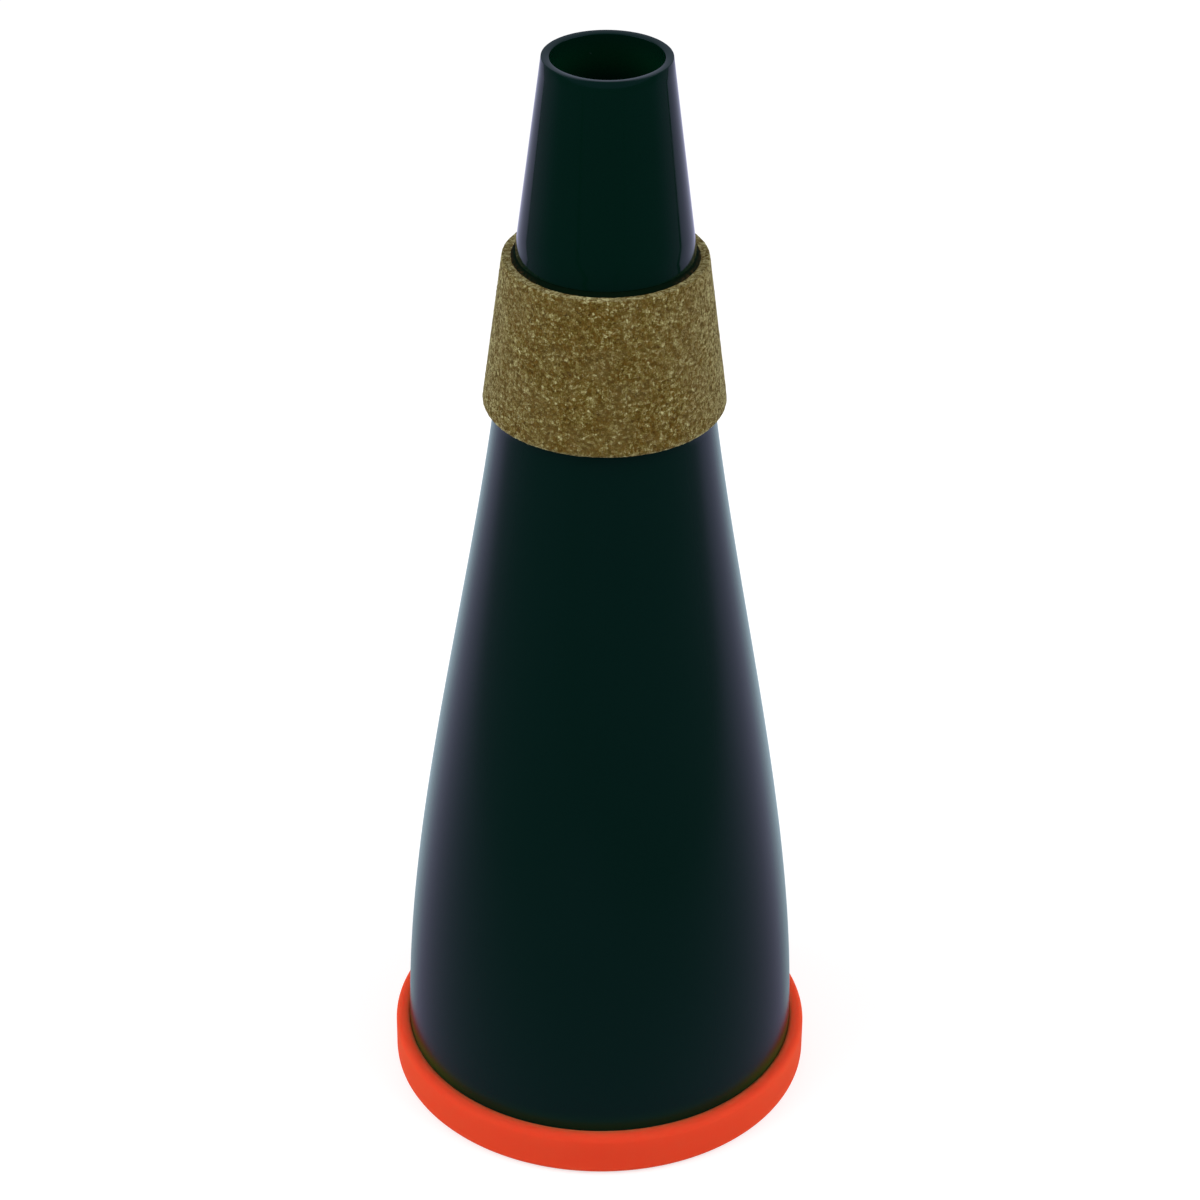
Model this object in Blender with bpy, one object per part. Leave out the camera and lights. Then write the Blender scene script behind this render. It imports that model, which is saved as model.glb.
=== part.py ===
"""Trumpet practice mute: a moulded black cone with a cork collar, a soft red foot ring and a damped,
baffled air chamber that leaks through one narrow tube. Metres, +Z up, standing on its foot at z = 0."""

import math

import bmesh
import bpy

MM = 0.001

# Clearance between touching pieces
GAP = 0.3 * MM

# Outside of the black body: a cubic flare from the base up to the foot of a straight cone
LIP_HEIGHT = 7.6 * MM            # top of the red ring, where the black body comes into view
BODY_LENGTH = 170.0 * MM         # black body above the red ring, up to the open end
BODY_RADIUS = 31.53 * MM         # body radius at the red ring
BODY_BASE_SLOPE = -0.0078        # change of radius with height at the red ring
CONE_FOOT_ABOVE_LIP = 115.5 * MM
CONE_FOOT_RADIUS = 16.36 * MM
TIP_RADIUS = 9.47 * MM           # outer radius of the open end
BODY_WALL = 2.0 * MM
TIP_WALL = 1.2 * MM
TIP_EDGE_ROUND = 0.3 * MM

# Cork collar, round the foot of the cone
CORK_BELOW_CONE = 0.8 * MM       # how far the cork reaches below the cone's foot
CORK_LENGTH = 24.0 * MM
CORK_FOOT_WALL = 1.31 * MM
CORK_TOP_WALL = 1.36 * MM
CORK_FOOT_ROUND = 0.75 * MM
CORK_TOP_ROUND = 0.15 * MM
CORK_LAND = 0.18 * MM            # how far the cork's seat stands proud of the cone

# Joint of the neck tube and the body, inside the cork
COLLAR_ABOVE_CORK = 0.6 * MM     # height of the neck's shoulder above the cork
COLLAR_CHAMFER = 0.3 * MM        # height of the chamfer on the body's collar
SOCKET_DEPTH = 12.0 * MM
SHOULDER_WIDTH = 1.35 * MM
SPIGOT_WALL = 1.3 * MM

# Soft foot ring
RING_WALL = 1.97 * MM
RING_FLOOR = 1.9 * MM
RING_FLOOR_WIDTH = 5.3 * MM      # how far the floor turns in under the base plate
RING_LIP_ROUND = 1.1 * MM
RING_FOOT_ROUND = 1.6 * MM
RING_BORE_ROUND = 0.8 * MM

# Base plate, pressed up into the body's open end
PLATE_THICKNESS = 2.1 * MM
PLATE_FLANGE = 1.0 * MM          # how far the plate's flange reaches into the body's wall
PLATE_SKIRT_HEIGHT = 6.3 * MM
PLATE_SKIRT_WALL = 1.1 * MM      # skirt's wall behind the seal's groove
SEAL_THICKNESS = 1.4 * MM

# Vent tube and its grommet, on the axis
TUBE_RADIUS = 3.0 * MM
TUBE_BORE_RADIUS = 1.8 * MM
TUBE_RECESS = 0.3 * MM           # how far the tube's mouth lies inside the grommet
TUBE_ABOVE_BAFFLE = 14.0 * MM
TUBE_COLLAR_RADIUS = 5.2 * MM
TUBE_COLLAR_HEIGHT = 1.2 * MM
GROMMET_NECK_WALL = 1.2 * MM
GROMMET_FLANGE = 1.9 * MM
GROMMET_FLANGE_HEIGHT = 1.2 * MM

# Baffle across the chamber, against a ledge in the body's wall
LEDGE_ABOVE_LIP = 56.6 * MM
LEDGE_WIDTH = 1.7 * MM
BAFFLE_THICKNESS = 2.0 * MM
BAFFLE_SKIRT_HEIGHT = 4.0 * MM
BAFFLE_SKIRT_WALL = 1.5 * MM
BAFFLE_HUB_HEIGHT = 8.0 * MM
BAFFLE_HUB_WALL = 1.7 * MM
BAFFLE_HOLES = 6
BAFFLE_HOLE_RADIUS = 3.2 * MM
FOAM_THICKNESS = 1.3 * MM

# Felts in the lower chamber
PLATE_FELT_THICKNESS = 4.0 * MM
WALL_FELT_THICKNESS = 1.5 * MM
WALL_FELT_ABOVE_PLATE = 3.0 * MM
WALL_FELT_LENGTH = 38.0 * MM

# Smoothness
WIDE_STEPS = 48                  # sides of the wide turned pieces
SLIM_STEPS = 24                  # sides of the slim ones
ARC_STEPS = 3
SEAL_SIDES = 8
FLARE_POINTS = 11
CHAMBER_POINTS = 6

# Heights that follow from the sizes above
TIP_HEIGHT = LIP_HEIGHT + BODY_LENGTH
CORK_FOOT = LIP_HEIGHT + CONE_FOOT_ABOVE_LIP - CORK_BELOW_CONE
CORK_TOP = CORK_FOOT + CORK_LENGTH
JOINT_HEIGHT = CORK_TOP + COLLAR_ABOVE_CORK
SOCKET_FOOT = JOINT_HEIGHT - SOCKET_DEPTH
BODY_FOOT = RING_FLOOR + GAP
PLATE_TOP = BODY_FOOT + PLATE_THICKNESS
SKIRT_TOP = PLATE_TOP + PLATE_SKIRT_HEIGHT
LEDGE_HEIGHT = LIP_HEIGHT + LEDGE_ABOVE_LIP
BAFFLE_TOP = LEDGE_HEIGHT - 2 * GAP - FOAM_THICKNESS
BAFFLE_UNDERSIDE = BAFFLE_TOP - BAFFLE_THICKNESS
PLATE_BORE_RADIUS = BODY_RADIUS - BODY_WALL


def outer_radius(height):
    """Radius of the black outside at a height: a cubic flare below, a straight cone above."""
    above = height - LIP_HEIGHT
    cone_slope = (TIP_RADIUS - CONE_FOOT_RADIUS) / (BODY_LENGTH - CONE_FOOT_ABOVE_LIP)
    if above >= CONE_FOOT_ABOVE_LIP:
        return CONE_FOOT_RADIUS + cone_slope * (above - CONE_FOOT_ABOVE_LIP)
    if above <= 0:
        return BODY_RADIUS
    t = above / CONE_FOOT_ABOVE_LIP
    start = 2 * t**3 - 3 * t**2 + 1
    start_slope = (t**3 - 2 * t**2 + t) * CONE_FOOT_ABOVE_LIP
    end_slope = (t**3 - t**2) * CONE_FOOT_ABOVE_LIP
    return (start * BODY_RADIUS + start_slope * BODY_BASE_SLOPE
            + (1 - start) * CONE_FOOT_RADIUS + end_slope * cone_slope)


def chamber_radius(height):
    """Radius of the body's inner wall below the ledge."""
    return min(PLATE_BORE_RADIUS, outer_radius(height) - BODY_WALL)


def skirt_bore_radius():
    """Radius inside the base plate's skirt, behind the seal and its groove."""
    return PLATE_BORE_RADIUS - GAP - SEAL_THICKNESS - GAP - PLATE_SKIRT_WALL


def spaced(first, last, count):
    """Evenly spaced values from first to last, both included."""
    return [first + (last - first) * i / (count - 1) for i in range(count)]


def arc(centre, radius, start_deg, end_deg):
    """Points of a circular arc in the turning plane, as (radius, height)."""
    angles = [math.radians(a) for a in spaced(start_deg, end_deg, ARC_STEPS + 1)]
    return [(centre[0] + radius * math.cos(a), centre[1] + radius * math.sin(a)) for a in angles]


def material(name, colour, roughness, metallic=0.0):
    """A plain material of one colour (linear red, green, blue)."""
    made = bpy.data.materials.new(name)
    made.use_nodes = True
    shader = made.node_tree.nodes["Principled BSDF"]
    shader.inputs["Base Color"].default_value = (*colour, 1.0)
    shader.inputs["Roughness"].default_value = roughness
    shader.inputs["Metallic"].default_value = metallic
    made.diffuse_color = (*colour, 1.0)
    return made


def turned(name, outline, steps, finish):
    """Turn a closed outline of (radius, height) points about the Z axis into one named piece."""
    shape = bmesh.new()
    ring = [shape.verts.new((radius, 0.0, height)) for radius, height in outline]
    for here, there in zip(ring, ring[1:] + ring[:1]):
        shape.edges.new((here, there))
    bmesh.ops.spin(
        shape, geom=shape.verts[:] + shape.edges[:], cent=(0, 0, 0), axis=(0, 0, 1),
        angle=2 * math.pi, steps=steps, use_merge=True)
    bmesh.ops.recalc_face_normals(shape, faces=shape.faces[:])
    mesh = bpy.data.meshes.new(name)
    shape.to_mesh(mesh)
    shape.free()
    mesh.shade_smooth()
    mesh.set_sharp_from_angle(angle=math.radians(30))
    mesh.materials.append(finish)
    piece = bpy.data.objects.new(name, mesh)
    bpy.context.scene.collection.objects.link(piece)
    return piece


def drilled(piece, radius, circle, count, low, high):
    """Cut a circle of upright round holes through a piece, between two heights."""
    shape = bmesh.new()
    for i in range(count):
        angle = 2 * math.pi * i / count
        made = bmesh.ops.create_cone(
            shape, cap_ends=True, segments=SLIM_STEPS // 2, radius1=radius, radius2=radius, depth=high - low)
        bmesh.ops.translate(
            shape, verts=made["verts"],
            vec=(circle * math.cos(angle), circle * math.sin(angle), (low + high) / 2))
    mesh = bpy.data.meshes.new(piece.name + "_drill")
    shape.to_mesh(mesh)
    shape.free()
    cutter = bpy.data.objects.new(piece.name + "_drill", mesh)
    cutter.display_type = "WIRE"
    cutter.hide_render = True
    bpy.context.scene.collection.objects.link(cutter)
    cut = piece.modifiers.new("holes", "BOOLEAN")
    cut.operation = "DIFFERENCE"
    cut.solver = "EXACT"
    cut.object = cutter


def neck_tube(finish):
    """Straight conical tube with a stepped spigot that drops into the body's socket."""
    edge = TIP_EDGE_ROUND
    spigot = outer_radius(JOINT_HEIGHT) - SHOULDER_WIDTH
    spigot_foot = SOCKET_FOOT + GAP
    bore_at_joint = spigot - SPIGOT_WALL
    bore_at_tip = TIP_RADIUS - TIP_WALL
    outline = arc((TIP_RADIUS - edge, TIP_HEIGHT - edge), edge, 90, 0)
    outline += [
        (outer_radius(JOINT_HEIGHT), JOINT_HEIGHT),
        (spigot, JOINT_HEIGHT),
        (spigot, spigot_foot),
        (bore_at_joint, spigot_foot),
        (bore_at_joint, JOINT_HEIGHT),
    ]
    outline += arc((bore_at_tip + edge, TIP_HEIGHT - edge), edge, 180, 90)
    return turned("neck_tube", outline, WIDE_STEPS, finish)


def body_shell(finish):
    """Flared shell: cork seat and neck socket above, baffle ledge within, open below for the plate."""
    collar_top = JOINT_HEIGHT - GAP
    collar_edge = collar_top - COLLAR_CHAMFER
    socket = outer_radius(JOINT_HEIGHT) - SHOULDER_WIDTH + GAP
    ledge = chamber_radius(LEDGE_HEIGHT) - LEDGE_WIDTH
    outline = [
        (outer_radius(collar_top), collar_top),
        (outer_radius(collar_edge) + CORK_LAND, collar_edge),
        (outer_radius(CORK_FOOT) + CORK_LAND, CORK_FOOT),
    ]
    outline += [(outer_radius(z), z) for z in spaced(CORK_FOOT - CORK_LAND, LIP_HEIGHT, FLARE_POINTS)]
    rebate_radius = PLATE_BORE_RADIUS + PLATE_FLANGE
    rebate_top = PLATE_TOP + GAP
    outline += [
        (BODY_RADIUS, BODY_FOOT),
        (rebate_radius, BODY_FOOT),
        (rebate_radius, rebate_top),
        (PLATE_BORE_RADIUS, rebate_top),
    ]
    outline += [(chamber_radius(z), z) for z in spaced(SKIRT_TOP + GAP, LEDGE_HEIGHT, CHAMBER_POINTS)]
    outline.append((ledge, LEDGE_HEIGHT))
    upper = [(outer_radius(z) - BODY_WALL, z) for z in spaced(LEDGE_HEIGHT, SOCKET_FOOT, FLARE_POINTS)]
    outline += [(radius, z) for radius, z in upper if radius < ledge]
    outline += [
        (socket, SOCKET_FOOT),
        (socket, collar_top),
    ]
    return turned("body_shell", outline, WIDE_STEPS, finish)


def cork_collar(finish):
    """Conical collar round the body's cork seat, with a rounded lower edge."""
    seat_foot = outer_radius(CORK_FOOT) + CORK_LAND + GAP
    seat_top = outer_radius(CORK_TOP) + CORK_LAND + GAP
    foot_round = min(CORK_FOOT_ROUND, CORK_FOOT_WALL)
    top_round = min(CORK_TOP_ROUND, CORK_TOP_WALL)
    foot_centre = (seat_foot + CORK_FOOT_WALL - foot_round, CORK_FOOT + foot_round)
    top_centre = (seat_top + CORK_TOP_WALL - top_round, CORK_TOP - top_round)
    lean_deg = math.degrees(math.atan2(foot_centre[0] - top_centre[0], top_centre[1] - foot_centre[1]))
    outline = arc(top_centre, top_round, 90, lean_deg)
    outline += arc(foot_centre, foot_round, lean_deg, -90)
    outline += [
        (seat_foot, CORK_FOOT),
        (seat_top, CORK_TOP),
    ]
    return turned("cork_collar", outline, WIDE_STEPS, finish)


def base_bumper(finish):
    """Soft ring stretched round the body's foot, with a floor that turns in under the base plate."""
    seat = BODY_RADIUS + GAP
    outside = seat + RING_WALL
    bore = seat - RING_FLOOR_WIDTH
    lip = min(RING_LIP_ROUND, RING_WALL)
    outline = [(seat, LIP_HEIGHT)]
    outline += arc((outside - lip, LIP_HEIGHT - lip), lip, 90, 0)
    outline += arc((outside - RING_FOOT_ROUND, RING_FOOT_ROUND), RING_FOOT_ROUND, 0, -90)
    outline += arc((bore + RING_BORE_ROUND, RING_BORE_ROUND), RING_BORE_ROUND, -90, -180)
    outline += [
        (bore, RING_FLOOR),
        (seat, RING_FLOOR),
    ]
    return turned("base_bumper", outline, WIDE_STEPS, finish)


def base_plate(finish):
    """Closing plate: a flange in the body's rebate and a skirt with a seal groove in its bore."""
    flange_radius = PLATE_BORE_RADIUS + PLATE_FLANGE - GAP
    skirt_radius = PLATE_BORE_RADIUS - GAP
    groove_radius = skirt_radius - SEAL_THICKNESS - GAP
    groove_half = SEAL_THICKNESS / 2 + GAP
    middle = (PLATE_TOP + SKIRT_TOP) / 2
    hole_radius = TUBE_RADIUS + GAP + GROMMET_NECK_WALL + GAP
    outline = [
        (skirt_radius, SKIRT_TOP),
        (skirt_radius, middle + groove_half),
        (groove_radius, middle + groove_half),
        (groove_radius, middle - groove_half),
        (skirt_radius, middle - groove_half),
        (skirt_radius, PLATE_TOP),
        (flange_radius, PLATE_TOP),
        (flange_radius, BODY_FOOT),
        (hole_radius, BODY_FOOT),
        (hole_radius, PLATE_TOP),
        (skirt_bore_radius(), PLATE_TOP),
        (skirt_bore_radius(), SKIRT_TOP),
    ]
    return turned("base_plate", outline, WIDE_STEPS, finish)


def base_seal(finish):
    """Round rubber seal in the plate's groove."""
    thick = SEAL_THICKNESS / 2
    middle_radius = PLATE_BORE_RADIUS - GAP - thick
    middle = (PLATE_TOP + SKIRT_TOP) / 2
    turns = [-2 * math.pi * i / SEAL_SIDES for i in range(SEAL_SIDES)]
    outline = [(middle_radius + thick * math.cos(a), middle + thick * math.sin(a)) for a in turns]
    return turned("base_seal", outline, WIDE_STEPS, finish)


def vent_grommet(finish):
    """Rubber grommet in the plate's hole, gripping the vent tube."""
    bore = TUBE_RADIUS + GAP
    neck = bore + GROMMET_NECK_WALL
    flange = neck + GROMMET_FLANGE
    under = BODY_FOOT - GAP
    over = PLATE_TOP + GAP
    outline = [
        (bore, over + GROMMET_FLANGE_HEIGHT),
        (flange, over + GROMMET_FLANGE_HEIGHT),
        (flange, over),
        (neck, over),
        (neck, under),
        (flange, under),
        (flange, under - GROMMET_FLANGE_HEIGHT),
        (bore, under - GROMMET_FLANGE_HEIGHT),
    ]
    return turned("vent_grommet", outline, SLIM_STEPS, finish)


def vent_tube(finish):
    """Narrow tube that lets the air out, with a collar that carries the baffle's hub."""
    top = BAFFLE_TOP + TUBE_ABOVE_BAFFLE
    foot = BODY_FOOT - GAP - GROMMET_FLANGE_HEIGHT + TUBE_RECESS
    collar_top = BAFFLE_UNDERSIDE - GAP
    collar_foot = collar_top - TUBE_COLLAR_HEIGHT
    outline = [
        (TUBE_RADIUS, top),
        (TUBE_RADIUS, collar_top),
        (TUBE_COLLAR_RADIUS, collar_top),
        (TUBE_COLLAR_RADIUS, collar_foot),
        (TUBE_RADIUS, collar_foot),
        (TUBE_RADIUS, foot),
        (TUBE_BORE_RADIUS, foot),
        (TUBE_BORE_RADIUS, top),
    ]
    return turned("vent_tube", outline, SLIM_STEPS, finish)


def baffle_disc(finish):
    """Pierced disc on a hub, with a skirt down the chamber's wall."""
    rim = chamber_radius(BAFFLE_TOP) - GAP
    hub_bore = TUBE_RADIUS + GAP
    hub = hub_bore + BAFFLE_HUB_WALL
    skirt_foot = BAFFLE_UNDERSIDE - BAFFLE_SKIRT_HEIGHT
    outline = [
        (hub, BAFFLE_TOP),
        (rim, BAFFLE_TOP),
        (rim, skirt_foot),
        (rim - BAFFLE_SKIRT_WALL, skirt_foot),
        (rim - BAFFLE_SKIRT_WALL, BAFFLE_UNDERSIDE),
        (hub_bore, BAFFLE_UNDERSIDE),
        (hub_bore, BAFFLE_TOP + BAFFLE_HUB_HEIGHT),
        (hub, BAFFLE_TOP + BAFFLE_HUB_HEIGHT),
    ]
    disc = turned("baffle_disc", outline, WIDE_STEPS, finish)
    hole_circle = (hub + rim - BAFFLE_SKIRT_WALL) / 2
    drilled(disc, BAFFLE_HOLE_RADIUS, hole_circle, BAFFLE_HOLES,
            BAFFLE_UNDERSIDE - BAFFLE_THICKNESS, BAFFLE_TOP + BAFFLE_THICKNESS)
    return disc


def baffle_seal(finish):
    """Foam ring squeezed between the baffle's rim and the ledge."""
    outer = chamber_radius(LEDGE_HEIGHT) - GAP
    inner = outer - LEDGE_WIDTH
    low = BAFFLE_TOP + GAP
    high = low + FOAM_THICKNESS
    outline = [(outer, high), (outer, low), (inner, low), (inner, high)]
    return turned("baffle_seal", outline, WIDE_STEPS, finish)


def plate_felt(finish):
    """Felt disc lying in the base plate, open round the grommet."""
    outer = skirt_bore_radius() - GAP
    inner = TUBE_RADIUS + GAP + GROMMET_NECK_WALL + GROMMET_FLANGE + GAP
    low = PLATE_TOP + GAP
    high = low + PLATE_FELT_THICKNESS
    outline = [(outer, high), (outer, low), (inner, low), (inner, high)]
    return turned("plate_felt", outline, WIDE_STEPS, finish)


def wall_felt(finish):
    """Felt lining on the lower chamber's wall."""
    low = SKIRT_TOP + WALL_FELT_ABOVE_PLATE
    heights = spaced(low + WALL_FELT_LENGTH, low, CHAMBER_POINTS)
    outer = [(chamber_radius(z) - GAP, z) for z in heights]
    inner = [(radius - WALL_FELT_THICKNESS, z) for radius, z in reversed(outer)]
    return turned("wall_felt", outer + inner, WIDE_STEPS, finish)


def build():
    for old in list(bpy.context.scene.objects):
        bpy.data.objects.remove(old)
    neck_tube(material("gloss_black", (0.004, 0.007, 0.006), 0.12))
    body_shell(material("satin_black", (0.004, 0.008, 0.007), 0.32))
    cork_collar(material("cork", (0.19, 0.13, 0.05), 0.9))
    base_bumper(material("red_silicone", (0.62, 0.05, 0.02), 0.5))
    base_plate(material("plate_black", (0.01, 0.01, 0.01), 0.5))
    base_seal(material("seal_rubber", (0.02, 0.02, 0.02), 0.7))
    vent_grommet(material("grommet_rubber", (0.02, 0.02, 0.02), 0.65))
    vent_tube(material("tube_aluminium", (0.55, 0.56, 0.57), 0.35, 1.0))
    baffle_disc(material("baffle_black", (0.012, 0.012, 0.012), 0.45))
    baffle_seal(material("foam_grey", (0.08, 0.08, 0.08), 0.95))
    plate_felt(material("felt_grey", (0.12, 0.12, 0.12), 1.0))
    wall_felt(material("felt_charcoal", (0.07, 0.07, 0.07), 1.0))


build()
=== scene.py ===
"""Trumpet practice mute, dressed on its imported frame: a glossy neck in a satin flared body, a cork
collar, a soft red foot ring, and the damped air chamber inside. Metres, +Z up, foot at z = 0."""

import math

import bpy
from mathutils import Matrix, Vector


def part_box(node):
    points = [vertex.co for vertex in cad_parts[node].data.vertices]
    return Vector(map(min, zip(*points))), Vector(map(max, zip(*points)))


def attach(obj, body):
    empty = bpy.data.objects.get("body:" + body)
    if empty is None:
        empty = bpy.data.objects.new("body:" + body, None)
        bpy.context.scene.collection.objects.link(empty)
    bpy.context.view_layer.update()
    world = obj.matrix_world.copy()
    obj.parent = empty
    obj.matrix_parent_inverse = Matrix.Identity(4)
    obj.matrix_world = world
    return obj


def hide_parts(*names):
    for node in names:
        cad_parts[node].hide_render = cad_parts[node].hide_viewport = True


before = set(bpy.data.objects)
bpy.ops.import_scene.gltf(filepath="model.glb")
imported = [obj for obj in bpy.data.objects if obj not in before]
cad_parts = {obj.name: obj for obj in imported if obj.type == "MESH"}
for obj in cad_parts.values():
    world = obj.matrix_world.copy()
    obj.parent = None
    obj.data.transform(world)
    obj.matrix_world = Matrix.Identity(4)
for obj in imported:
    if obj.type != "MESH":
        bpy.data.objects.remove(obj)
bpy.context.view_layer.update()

MM = 0.001

# Clearance between touching pieces
GAP = 0.3 * MM

# Outside of the black body: a cubic flare from the base up to the foot of a straight cone
BODY_BASE_SLOPE = -0.0078        # change of radius with height at the red ring
CONE_FOOT_ABOVE_LIP = 115.5 * MM
CONE_FOOT_RADIUS = 16.36 * MM
TIP_RADIUS = 9.47 * MM
BODY_WALL = 2.0 * MM
TIP_WALL = 1.2 * MM
MOUTH_DISH = 0.15 * MM           # how far the mouth's face falls towards its bore

# Joint of the neck and the body, inside the cork
SHOULDER_WIDTH = 1.35 * MM
SPIGOT_WALL = 1.3 * MM
COLLAR_CHAMFER = 0.3 * MM
LEDGE_WIDTH = 1.7 * MM           # ledge in the body that the baffle's foam presses on

# Cork
CORK_LAND = 0.18 * MM            # how far the cork's seat stands proud of the cone
CORK_FOOT_WALL = 1.31 * MM
CORK_TOP_WALL = 1.36 * MM
CORK_FOOT_ROUND = 0.75 * MM
CORK_TOP_ROUND = 0.15 * MM
CORK_SEAM_HEIGHT = 133.0 * MM    # where the slanting seam crosses the middle of the back

# Red ring
RING_WALL = 1.97 * MM
RING_FLOOR = 1.9 * MM
RING_FLOOR_WIDTH = 5.3 * MM      # how far the floor turns in under the base plate
RING_LIP_ROUND = 1.1 * MM
RING_FOOT_ROUND = 1.6 * MM
RING_BORE_ROUND = 0.8 * MM

# Base plate, its seal and the vent
PLATE_THICKNESS = 2.1 * MM
PLATE_FLANGE = 1.0 * MM
PLATE_SKIRT_WALL = 1.1 * MM
SEAL_THICKNESS = 1.4 * MM
TUBE_RADIUS = 3.0 * MM
TUBE_BORE_RADIUS = 1.8 * MM
TUBE_COLLAR_HEIGHT = 1.2 * MM
GROMMET_NECK_WALL = 1.2 * MM
GROMMET_FLANGE_HEIGHT = 1.2 * MM
EJECTOR_CIRCLE = 20.0            # radius of the ring of ejector marks under it, in millimetres
EJECTOR_TURNS = (0.5, 2.594, 4.689)

# Baffle and felts
BAFFLE_THICKNESS = 2.0 * MM
BAFFLE_SKIRT_WALL = 1.5 * MM
BAFFLE_HUB_WALL = 1.7 * MM
BAFFLE_HOLES = 6
BAFFLE_HOLE_RADIUS = 3.2 * MM
WALL_FELT_THICKNESS = 1.5 * MM
FOAM_BULGE = 0.12 * MM
FELT_EDGE_ROUND = 0.6 * MM

# Smoothness
WIDE_SIDES = 192                 # sides of the wide turned pieces
SLIM_SIDES = 64                  # sides of the slim ones
HOLE_SIDES = 48
CORK_SIDES = 384
FELT_SIDES = 256
CORK_STEP = 0.3 * MM             # height of one row of the cork's mesh
FELT_STEP = 0.7 * MM
WELD = 0.002 * MM                # points closer than this become one
SHARP = math.radians(30)         # edges sharper than this are eased

# Camera: the photograph's view, from 549 mm away and 31.6 degrees up
AIM = Vector((-0.46 * MM, 0.0, 87.1 * MM))
CAMERA_DISTANCE = 549.4 * MM
CAMERA_ELEVATION = math.radians(31.61)
CAMERA_ROLL = math.radians(0.435)
CAMERA_LENS = 106.43
CAMERA_SENSOR = 36

# Light
SOFTBOX_SIZE = 1.2
SOFTBOX_PLACE = (1.08, -0.38, 0.9)
SOFTBOX_AIM = (0, 0, 0.08)
SOFTBOX_LEVELS = {"left_softbox": 2.6, "right_softbox": 2.4}
AMBIENT = 0.57                   # what the room gives to matt surfaces
WHITE = (1.0, 1.0, 1.0)
VIOLET = (0.66, 0.60, 0.94)      # daylight that the black plastic reflects from the front and sides
CYAN = (0.67, 0.87, 1.0)         # and from behind, at its edges
CEILING = (0.55, 0.59, 0.78)     # and from above, on the neck's mouth

# Floor
FLOOR_SIZE = 30
FLOOR_PALE = 0.85                # its colour as it lights the object
FLOOR_WHITE = 0.50               # its colour where it is seen, and the fill that makes it white
FLOOR_FILL = 0.63
FAR_FILL = 0.12                  # more of it far away, where the lamps don't reach
PAPER_LEFT = (0.275, 1.36)       # edges of the white paper that the plastic reflects: how far
PAPER_RIGHT = (0.205, 0.864)     # they lie in front of the object, and how steeply they run
PAPER_BLUR = 0.004
TABLE_EDGE = 0.045               # dark edge between the paper and the table


def reach(node):
    """Outer radius, foot and top of a CAD node."""
    low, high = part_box(node)
    return high[0], low[2], high[2]


# Sizes taken from the CAD
BODY_RADIUS = reach("base_bumper")[0] - RING_WALL - GAP
LIP_HEIGHT = reach("base_bumper")[2]
TIP_HEIGHT = reach("neck_tube")[2]
CORK_FOOT, CORK_TOP = reach("cork_collar")[1:]
JOINT_HEIGHT = reach("body_shell")[2] + GAP
SOCKET_FOOT = reach("neck_tube")[1] - GAP
BODY_FOOT, SKIRT_TOP = reach("base_plate")[1:]
PLATE_TOP = BODY_FOOT + PLATE_THICKNESS
LEDGE_HEIGHT = reach("baffle_seal")[2] + GAP
BAFFLE_UNDERSIDE = reach("baffle_seal")[1] - GAP - BAFFLE_THICKNESS


def outer_radius(height):
    """Radius of the black outside at a height: a cubic flare below, a straight cone above."""
    above = height - LIP_HEIGHT
    cone_slope = (TIP_RADIUS - CONE_FOOT_RADIUS) / (TIP_HEIGHT - LIP_HEIGHT - CONE_FOOT_ABOVE_LIP)
    if above >= CONE_FOOT_ABOVE_LIP:
        return CONE_FOOT_RADIUS + cone_slope * (above - CONE_FOOT_ABOVE_LIP)
    if above <= 0:
        return BODY_RADIUS
    t = above / CONE_FOOT_ABOVE_LIP
    start = 2 * t**3 - 3 * t**2 + 1
    start_slope = (t**3 - 2 * t**2 + t) * CONE_FOOT_ABOVE_LIP
    end_slope = (t**3 - t**2) * CONE_FOOT_ABOVE_LIP
    return (start * BODY_RADIUS + start_slope * BODY_BASE_SLOPE
            + (1 - start) * CONE_FOOT_RADIUS + end_slope * cone_slope)


def chamber_radius(height):
    """Radius of the body's inner wall below the ledge."""
    return min(BODY_RADIUS, outer_radius(height)) - BODY_WALL


def spaced(first, last, count):
    """Evenly spaced values from first to last, both included."""
    return [first + (last - first) * i / (count - 1) for i in range(count)]


def rows(first, last, step):
    """Evenly spaced values about one step apart, both ends included."""
    return spaced(first, last, max(2, round(abs(last - first) / step) + 1))


def arc(centre, radius, start_deg, end_deg, count):
    """Points of a circular arc in the turning plane, as (radius, height)."""
    angles = [math.radians(a) for a in spaced(start_deg, end_deg, count)]
    return [(centre[0] + radius * math.cos(a), centre[1] + radius * math.sin(a)) for a in angles]


# Finishes

class Value:
    """What one socket of a finish gives. Sums on it are written as expressions."""

    def __init__(self, nodes, socket):
        self.nodes = nodes
        self.socket = socket

    def __add__(self, other):
        return self.nodes.maths("ADD", self, other)

    def __sub__(self, other):
        return self.nodes.maths("SUBTRACT", self, other)

    def __mul__(self, other):
        return self.nodes.maths("MULTIPLY", self, other)

    def __truediv__(self, other):
        return self.nodes.maths("DIVIDE", self, other)

    def __radd__(self, other):
        return self.nodes.maths("ADD", other, self)

    def __rsub__(self, other):
        return self.nodes.maths("SUBTRACT", other, self)

    def __rmul__(self, other):
        return self.nodes.maths("MULTIPLY", other, self)

    def __gt__(self, other):
        return self.nodes.maths("GREATER_THAN", self, other)

    def __lt__(self, other):
        return self.nodes.maths("LESS_THAN", self, other)

    def __abs__(self):
        return self.nodes.maths("ABSOLUTE", self)

    def either(self, other):
        return self.nodes.maths("MAXIMUM", self, other)


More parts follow.
